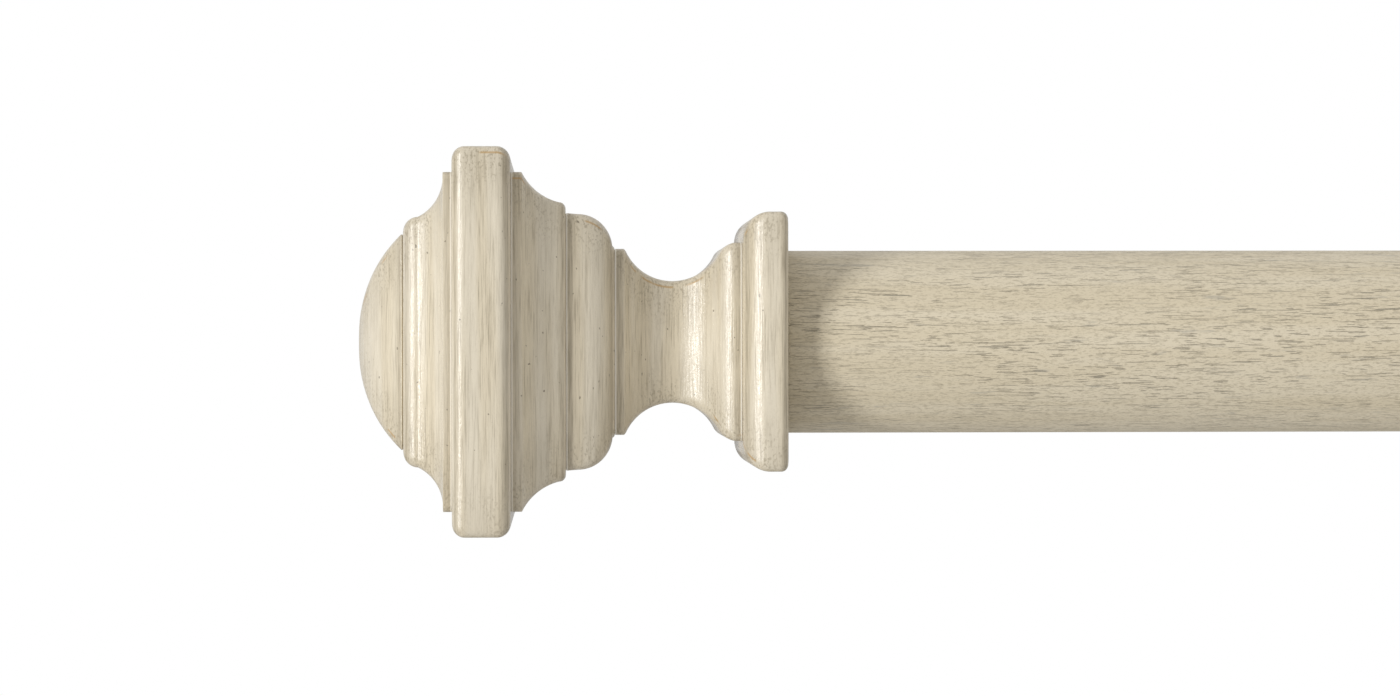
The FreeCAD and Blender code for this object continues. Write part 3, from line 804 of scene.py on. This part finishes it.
# %% Arms and boards
BRACKET_CORNER, SCREW_BORE = 1.2, 4.3
board_paint = {}
for side in SIDES:
    low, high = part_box(f"arm_{side}")
    middle = ((low.x + high.x) / 2, 0, -ARM_DROP * MM)
    arm_paint = glazed_paint(f"glazed_cream_paint_on_arm_{side}", middle, math.pi / 2)
    board_paint[side] = glazed_paint(
        f"glazed_cream_paint_on_boards_{side}", middle, math.pi / 2, BOARD_TALLER * MM
    )
    for layer, (start, taller, path) in BRACKET_LAYERS.items():
        moulding = square_moulding(path, BRACKET_CORNER, SCREW_BORE, taller)
        stand(moulding, middle[0], start * MM, middle[2], (0, -1, 0))
        paint = board_paint[side] if taller else arm_paint
        node = f"{layer}_{side}"
        piece = as_piece(moulding, f"moulded_{node}", "brackets", [node], paint)
        print(piece.name, [round(s / MM, 1) for s in piece.dimensions], "mm")

# %% [markdown]
# ## Threads that fit
# A hanger bolt has a fine machine thread at one end and a coarse wood thread at the other. It
# is drawn as a smooth core and a ridge: one small face is spun round the axis while it moves
# along, and the ridge is flattened into the core where it starts and ends, as a rolled thread
# is. The crests keep the solid's radius and the pitch is the one that the screw really climbs
# by, so that fourteen turns free a finial and four turns back a thumb screw off.

# %% A thread on a core
CORE_STEPS, THREAD_STEPS = 40, 28
# half widths of the ridge and its run-in as parts of the pitch, and its sunk foot in mm
CREST, FOOT_OF_RIDGE, RUN_IN = 0.07, 0.47, 0.1
SUNK = 0.15


def threaded_piece(core, ridges):
    """A round core along X with ridges of (start, end, root, crest, pitch) in millimetres."""
    bm = round_piece(core, CORE_STEPS)
    for start, end, root, crest, pitch in ridges:
        ridge = bmesh.new()
        foot = root - SUNK
        profile = [(-FOOT_OF_RIDGE, foot), (-CREST, crest), (CREST, crest), (FOOT_OF_RIDGE, foot)]
        corners = [ridge.verts.new(((start + x * pitch) * MM, 0, r * MM)) for x, r in profile]
        face = ridge.faces.new(corners)
        turns = (end - start) / pitch
        bmesh.ops.spin(
            ridge,
            geom=[face, *face.edges, *face.verts],
            cent=(0, 0, 0),
            axis=(1, 0, 0),
            dvec=(pitch * MM / THREAD_STEPS, 0, 0),
            angle=math.tau * turns,
            steps=round(THREAD_STEPS * turns),
            use_duplicate=False,
        )
        for vert in ridge.verts:
            from_end = min(vert.co.x - start * MM, end * MM - vert.co.x) / (pitch * MM)
            height = math.hypot(vert.co.y, vert.co.z)
            rise = min(1.0, max(0.0, from_end + RUN_IN))
            faded = root * MM + (height - root * MM) * rise
            if height > root * MM:
                vert.co.y, vert.co.z = vert.co.y * faded / height, vert.co.z * faded / height
        bmesh.ops.recalc_face_normals(ridge, faces=ridge.faces[:])
        mesh = bpy.data.meshes.new("ridge")
        ridge.to_mesh(mesh)
        ridge.free()
        bm.from_mesh(mesh)
        bpy.data.meshes.remove(mesh)
    return bm


print("each turn of a thread has", THREAD_STEPS, "steps")

# %% Both bolts and both shanks
bolt_core = [
    (0, 0), (0, 2.7), (0.8, 3.3), (18.6, 3.3), (19.4, 3.5), (21.6, 3.5), (22.4, 2.5),
    (36.0, 2.5), (41.0, 0.3), (41.0, 0),
]
bolt_ridges = [(0.8, 18.6, 3.3, 3.96, 1.4111), (22.6, 36.0, 2.5, 3.55, 2.8)]
shank_core = [(0, 0), (0, 2.1), (0.9, 2.6), (16.6, 2.6), (17.2, 3.15), (22.2, 3.15), (22.2, 0)]
shank_ridges = [(0.9, 16.6, 2.6, 3.17, 1.27)]
for side, way in SIDES.items():
    low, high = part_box(f"hanger_bolt_{side}")
    bolt = threaded_piece(bolt_core, bolt_ridges)
    start = low.x if way > 0 else high.x
    stand(bolt, start, 0, 0, (way, 0, 0))
    node = f"hanger_bolt_{side}"
    bolt = as_piece(bolt, f"threaded_{node}", f"finial_bolt_{side}", [node], zinc)
    low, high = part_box(f"thumb_shank_{side}")
    shank = threaded_piece(shank_core, shank_ridges)
    stand(shank, (low.x + high.x) / 2, 0, high.z, (0, 0, -1))
    node = f"thumb_shank_{side}"
    shank = as_piece(shank, f"threaded_{node}", f"thumb_screw_{side}", [node], brass)
    print(bolt.name, [round(s / MM, 1) for s in bolt.dimensions], shank.name, "in mm")

# %% [markdown]
# ## Eased edges on the pieces that keep their solid's shape
# The cradles, wall boards, keyhole plates and knobs have holes and grooves that are exact
# already. A copy of each solid is welded, its flat faces are joined again, and its sharp edges
# get a small round: a third of a millimetre of paint on the wood, a tenth of a millimetre on
# turned brass, and a little more on stamped steel.

# %% Ease the edges
FLAT_TURN, SHARP_EDGE, EASED_CREASE = math.radians(0.5), 0.6, 40
PAINT_EASE, STEEL_EASE, BRASS_EASE = 0.3, 0.15, 0.1


def eased_copy(node, offset, body, material):
    """A welded copy of a node's mesh with rounded edges, riding in the node's place."""
    bm = bmesh.new()
    bm.from_mesh(frame["nodes"][node].data)
    bmesh.ops.transform(bm, matrix=frame["nodes"][node].matrix_world, verts=bm.verts[:])
    bmesh.ops.remove_doubles(bm, verts=bm.verts[:], dist=WELD)
    bmesh.ops.dissolve_limit(bm, angle_limit=FLAT_TURN, verts=bm.verts[:], edges=bm.edges[:])
    paired = [edge for edge in bm.edges if len(edge.link_faces) == 2]
    sharp = [edge for edge in paired if edge.calc_face_angle() > SHARP_EDGE]
    bmesh.ops.bevel(
        bm,
        geom=sharp,
        offset=offset * MM,
        segments=2,
        profile=0.5,
        affect="EDGES",
        material=-1,
        clamp_overlap=True,
    )
    bmesh.ops.recalc_face_normals(bm, faces=bm.faces[:])
    open_edges = sum(not edge.is_manifold for edge in bm.edges)
    print(f"eased_{node}:", len(bm.faces), "faces and", open_edges, "open edges")
    return as_piece(bm, f"eased_{node}", body, [node], material, EASED_CREASE)


# %% Cradles, wall boards, knobs and plates
for side in SIDES:
    low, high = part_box(f"cradle_{side}")
    centre = ((low.x + high.x) / 2, 0, 0)
    cradle_paint = glazed_paint(f"glazed_cream_paint_on_cradle_{side}", centre, mitred=False)
    eased_copy(f"cradle_{side}", PAINT_EASE, "brackets", cradle_paint)
    eased_copy(f"back_plate_{side}", PAINT_EASE, "brackets", board_paint[side])
    eased_copy(f"thumb_knob_{side}", BRASS_EASE, f"knob_{side}", brass)
    eased_copy(f"key_plate_{side}", STEEL_EASE, "brackets", zinc)

# %% [markdown]
# ## Light, floor and camera
# The pole hangs before plain white, with one large softbox to its left and nearly level with
# it. The camera sees the world as white, but as light the world is a little brighter and
# cooler behind the object than in front of it, brighter again above it, and dark below. So the
# edges pick up a pale rim, and the undersides and the faces that turn away from the softbox
# stay clearly darker. A pale floor lies well below, because the pole hangs near a ceiling.

# %% The world's light
BEHIND, FRONT = (0.62, 0.64, 0.68, 1), (0.54, 0.525, 0.50, 1)
WHITE, DARK = (1, 1, 1, 1), (0.08, 0.08, 0.08, 1)
# each shade, the axis it changes along (1 towards the wall, 2 up), where on the axis it starts
# and ends, and its share there
SHADES = (
    (BEHIND, 1, -0.1, 0.75, 0.0, 1.0),
    (WHITE, 2, -0.1, 0.9, 0.0, 0.5),
    (DARK, 2, -0.7, 0.0, 0.8, 0.0),
)


def studio_world():
    """White to look at; as light, bright behind the object and dimmer in front of it."""
    world = bpy.data.worlds.new("studio")
    bpy.context.scene.world = world
    world.use_nodes = True
    tree = world.node_tree
    tree.nodes.clear()
    way = add(tree, "TexCoord", out="Generated")
    axes = add(tree, "SeparateXYZ", [way], out=None)
    colour = FRONT
    for shade, axis, start, end, at_start, at_end in SHADES:
        spread = {"Value": axes[axis], "From Min": start, "From Max": end}
        spread.update({"To Min": at_start, "To Max": at_end})
        amount = add(tree, "MapRange", spread, **SMOOTH)
        shades = {0: amount, 6: colour, 7: shade}
        colour = add(tree, "Mix", shades, out=2, data_type="RGBA")
    seen = add(tree, "LightPath", out="Is Camera Ray")
    colour = add(tree, "Mix", {0: seen, 6: colour, 7: WHITE}, out=2, data_type="RGBA")
    light = add(tree, "Background", {"Color": colour, "Strength": 1.0})
    add(tree, "OutputWorld", {"Surface": light}, out=None)


studio_world()
print("the world is lit in", len(SHADES) + 1, "shades")

# %% The softbox
SOFTBOX = {"size": (1.3, 1.5), "distance": 5.0, "power": 152, "colour": (1.0, 0.995, 0.985)}


def soft_light(name, size, target, azimuth, elevation, distance, power, colour):
    """A rectangular softbox that faces a target. Azimuth 0 is in front, minus is left."""
    lamp = bpy.data.lights.new(name, "AREA")
    lamp.shape = "RECTANGLE"
    lamp.size, lamp.size_y = size
    lamp.energy, lamp.color = power, colour
    holder = bpy.data.objects.new(name, lamp)
    bpy.context.scene.collection.objects.link(holder)
    a, e = math.radians(azimuth), math.radians(elevation)
    out = Vector((math.sin(a) * math.cos(e), -math.cos(a) * math.cos(e), math.sin(e)))
    holder.location = Vector(target) + out * distance
    holder.rotation_euler = out.to_track_quat("Z", "Y").to_euler()
    return holder


low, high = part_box("centre_band_left")
key = soft_light("key_softbox", target=(low + high) / 2, azimuth=-48, elevation=5, **SOFTBOX)
print("the softbox stands at", [round(x, 2) for x in key.location])

# %% The floor
FLOOR_DROP, FLOOR_HALF = 3.0, 25
floor_mesh = bmesh.new()
bmesh.ops.create_grid(floor_mesh, x_segments=1, y_segments=1, size=FLOOR_HALF)
bmesh.ops.translate(floor_mesh, verts=floor_mesh.verts[:], vec=(0, 0, -FLOOR_DROP))
floor = bpy.data.objects.new("floor", bpy.data.meshes.new("floor"))
floor_mesh.to_mesh(floor.data)
floor_mesh.free()
bpy.context.scene.collection.objects.link(floor)
floor_finish, tree = new_material("pale_matt_floor")
finish_surface(tree, Base_Color=linear("#D2D1CF"), Roughness=0.8)
floor.data.materials.append(floor_finish)
print("the floor is", FLOOR_DROP, "m below the pole's axis")

# %% [markdown]
# The camera looks at the left finial and the first part of the pole from about arm's length,
# with a long lens, level with the axis and turned a little to the right.

# %% The camera
SENSOR, LENS = 36.0, 102.7
STAND = (-0.6704, -1.114, -0.0017)
TURN_RIGHT, TILT = math.radians(1.935), math.radians(0.08)

camera = bpy.data.objects.new("camera", bpy.data.cameras.new("camera"))
bpy.context.scene.collection.objects.link(camera)
camera.data.sensor_width, camera.data.lens = SENSOR, LENS
camera.location = STAND
camera.rotation_euler = (math.pi / 2, TILT, -TURN_RIGHT)
camera.data.clip_start, camera.data.clip_end = 0.01, 100
bpy.context.scene.camera = camera
bpy.context.scene.view_settings.view_transform = "Standard"
print("the camera stands", round(-STAND[1], 2), "m in front of the pole's axis")

# %% [markdown]
# ## The pieces that keep their solid
# Dowels, inserts and screws have the right shape already. Each takes the finish that the
# record's material slot names.

# %% Finish the frame's own nodes
FINISHES = {"cream_wood": finial_paint, "bare_wood": beech, "zinc_steel": zinc, "brass": brass}
slots = {row["node"]: row["material_slot"] for row in frame["record"]["subparts"]}
for name, piece in frame["nodes"].items():
    piece.data.materials.clear()
    piece.data.materials.append(pole_paint if name == "rod" else FINISHES[slots[name]])
print(len(frame["nodes"]), "solids have a finish from", sorted(set(slots.values())))
